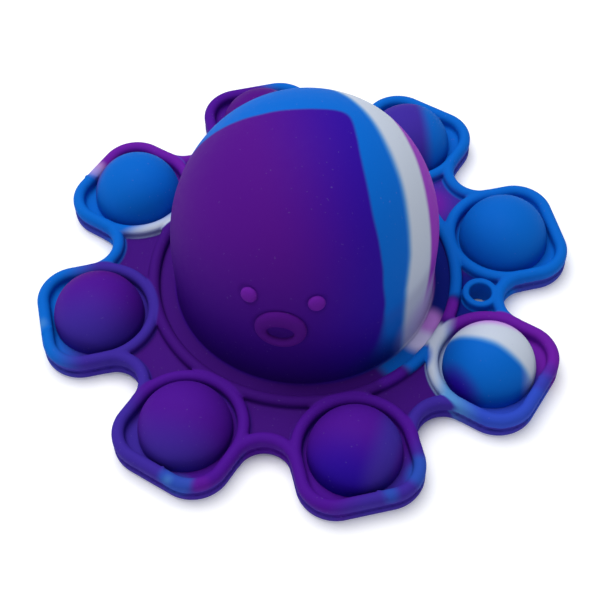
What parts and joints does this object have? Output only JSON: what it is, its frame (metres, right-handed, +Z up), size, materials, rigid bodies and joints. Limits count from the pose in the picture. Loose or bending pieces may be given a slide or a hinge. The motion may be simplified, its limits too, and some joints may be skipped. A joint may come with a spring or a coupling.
{
  "type": "octopus push-bubble toy",
  "caption": "Tie-dyed silicone octopus toy: a tall hollow head that pops through a flat plate of short arms, each with a push-in bubble, and a keyring eye.",
  "frame": {"origin": "on the table plane that the rims stand on, under the middle of the plate", "axes": "+Z up through the head, -Y the way the face looks, +X towards the keyring eye"},
  "size_m": [0.127, 0.127, 0.0579],
  "materials": {
    "blue": "matte moulded silicone",
    "purple": "matte moulded silicone",
    "indigo": "matte moulded silicone",
    "magenta": "matte moulded silicone",
    "white": "matte moulded silicone"
  },
  "bodies": {
    "plate": {"arm_1": "blue", "web_1": "indigo", "arm_2": "blue", "web_2": "magenta", "arm_3": "magenta", "web_3": "purple", "arm_4": "blue", "web_4": "purple", "arm_5": "purple", "web_5": "purple", "arm_6": "indigo", "web_6": "purple", "arm_7": "purple", "web_7": "purple", "arm_8": "magenta", "web_8": "blue", "eyelet": "blue", "head_ring": "purple", "head_recess": "purple", "head_skirt": "purple", "bubble_1_skirt": "blue", "bubble_2_skirt": "purple", "bubble_3_skirt": "magenta", "bubble_4_skirt": "blue", "bubble_5_skirt": "purple", "bubble_6_skirt": "indigo", "bubble_7_skirt": "purple", "bubble_8_skirt": "blue"},
    "head_crown": {"head_crown": "purple"},
    "head_upper": {"head_upper": "purple"},
    "head_face": {"head_face": "purple", "eye_left": "magenta", "eye_right": "magenta", "mouth": "magenta"},
    "bubble_1": {"bubble_1_crown": "blue"},
    "bubble_2": {"bubble_2_crown": "purple"},
    "bubble_3": {"bubble_3_crown": "magenta"},
    "bubble_4": {"bubble_4_crown": "blue"},
    "bubble_5": {"bubble_5_crown": "purple"},
    "bubble_6": {"bubble_6_crown": "indigo"},
    "bubble_7": {"bubble_7_crown": "purple"},
    "bubble_8": {"bubble_8_crown": "white"}
  },
  "joints": [
    {"name": "head_pop", "type": "slide", "parent": "plate", "child": "head_crown", "axis": [0, 0, 1], "range_m": [-0.1068, 0], "deforming": ["head_skirt"]},
    {"name": "head_upper_follow", "type": "slide", "parent": "plate", "child": "head_upper", "axis": [0, 0, 1], "range_m": [-0.07891, 0], "deforming": ["head_skirt"]},
    {"name": "head_face_follow", "type": "slide", "parent": "plate", "child": "head_face", "axis": [0, 0, 1], "range_m": [-0.04698, 0], "deforming": ["head_skirt"]},
    {"name": "bubble_1_pop", "type": "slide", "parent": "plate", "child": "bubble_1", "axis": [0, 0, 1], "range_m": [-0.0219, 0], "deforming": ["bubble_1_skirt"]},
    {"name": "bubble_2_pop", "type": "slide", "parent": "plate", "child": "bubble_2", "axis": [0, 0, 1], "range_m": [-0.0219, 0], "deforming": ["bubble_2_skirt"]},
    {"name": "bubble_3_pop", "type": "slide", "parent": "plate", "child": "bubble_3", "axis": [0, 0, 1], "range_m": [-0.0219, 0], "deforming": ["bubble_3_skirt"]},
    {"name": "bubble_4_pop", "type": "slide", "parent": "plate", "child": "bubble_4", "axis": [0, 0, 1], "range_m": [-0.0219, 0], "deforming": ["bubble_4_skirt"]},
    {"name": "bubble_5_pop", "type": "slide", "parent": "plate", "child": "bubble_5", "axis": [0, 0, 1], "range_m": [-0.0219, 0], "deforming": ["bubble_5_skirt"]},
    {"name": "bubble_6_pop", "type": "slide", "parent": "plate", "child": "bubble_6", "axis": [0, 0, 1], "range_m": [-0.0219, 0], "deforming": ["bubble_6_skirt"]},
    {"name": "bubble_7_pop", "type": "slide", "parent": "plate", "child": "bubble_7", "axis": [0, 0, 1], "range_m": [-0.0219, 0], "deforming": ["bubble_7_skirt"]},
    {"name": "bubble_8_pop", "type": "slide", "parent": "plate", "child": "bubble_8", "axis": [0, 0, 1], "range_m": [-0.0219, 0], "deforming": ["bubble_8_skirt"]}
  ],
  "couplings": [
    {"joint": "head_upper_follow", "follows": "head_pop", "ratio": 0.737},
    {"joint": "head_face_follow", "follows": "head_pop", "ratio": 0.438}
  ]
}
